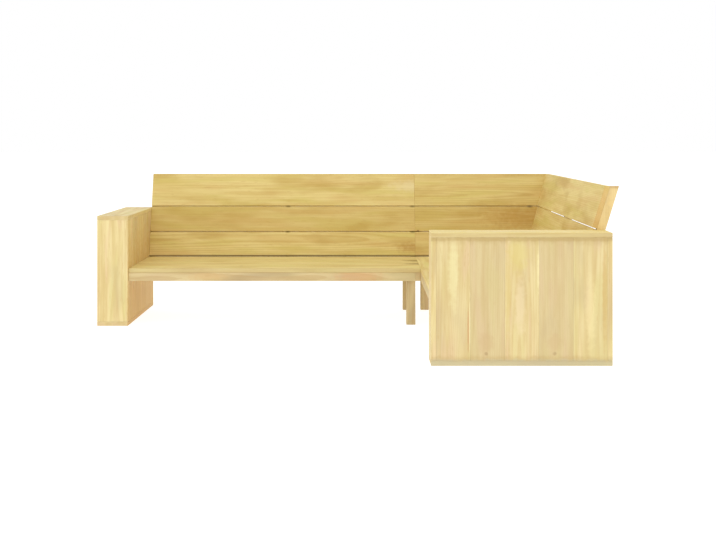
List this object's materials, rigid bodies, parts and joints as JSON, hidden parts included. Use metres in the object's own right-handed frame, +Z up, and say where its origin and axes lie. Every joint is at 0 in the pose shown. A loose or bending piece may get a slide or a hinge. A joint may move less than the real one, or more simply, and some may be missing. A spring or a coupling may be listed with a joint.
{
  "type": "corner bench",
  "caption": "Softwood garden corner bench: box arms of boards, a boarded seat that turns the corner on square legs, and leaning plank backs.",
  "frame": {"origin": "on the floor, under the middle of the bench's overall box", "axes": "+X to the right along the long left section, +Y towards the rear back, +Z up"},
  "size_m": [2.415, 1.8564, 0.7361],
  "materials": {
    "pine_arms": "planed, bare",
    "pine_seat": "planed, bare",
    "pine_back": "planed, bare",
    "pine_frame": "planed, bare",
    "zinc_steel": "zinc plated"
  },
  "bodies": {
    "root": {"arm_screws": "zinc_steel", "back_screws": "zinc_steel", "corner_back_plank_bottom": "pine_back", "corner_back_plank_middle": "pine_back", "corner_back_plank_top": "pine_back", "corner_back_support_inner": "pine_frame", "corner_back_support_outer": "pine_frame", "corner_inner_leg": "pine_frame", "corner_outer_leg": "pine_frame", "corner_rear_rail": "pine_frame", "frame_screws": "zinc_steel", "left_arm_battens": "pine_arms", "left_arm_bottom": "pine_arms", "left_arm_front_board": "pine_arms", "left_arm_inner_boards": "pine_arms", "left_arm_outer_boards": "pine_arms", "left_arm_posts": "pine_arms", "left_arm_rail": "pine_frame", "left_arm_rear_board": "pine_arms", "left_arm_top": "pine_arms", "left_back_plank_bottom": "pine_back", "left_back_plank_middle": "pine_back", "left_back_plank_top": "pine_back", "left_back_supports": "pine_frame", "left_cross_rails": "pine_frame", "left_end_rail": "pine_frame", "left_front_leg": "pine_frame", "left_front_rail": "pine_frame", "left_rear_leg": "pine_frame", "left_rear_rail": "pine_frame", "left_seat_board_1": "pine_seat", "left_seat_board_2": "pine_seat", "left_seat_board_3": "pine_seat", "left_seat_board_4": "pine_seat", "right_arm_battens": "pine_arms", "right_arm_bottom": "pine_arms", "right_arm_front_board": "pine_arms", "right_arm_inner_boards": "pine_arms", "right_arm_outer_boards": "pine_arms", "right_arm_posts": "pine_arms", "right_arm_rail": "pine_frame", "right_arm_rear_board": "pine_arms", "right_arm_top": "pine_arms", "right_back_plank_bottom": "pine_back", "right_back_plank_middle": "pine_back", "right_back_plank_top": "pine_back", "right_back_support_arm": "pine_frame", "right_back_support_middle": "pine_frame", "right_cross_rails": "pine_frame", "right_front_rail": "pine_frame", "right_seat_board_1": "pine_seat", "right_seat_board_2": "pine_seat", "right_seat_board_3": "pine_seat", "right_seat_board_4": "pine_seat", "right_side_rail": "pine_frame", "seat_screws": "zinc_steel", "section_bolts": "zinc_steel", "section_nuts": "zinc_steel", "section_washers": "zinc_steel"}
  },
  "joints": []
}
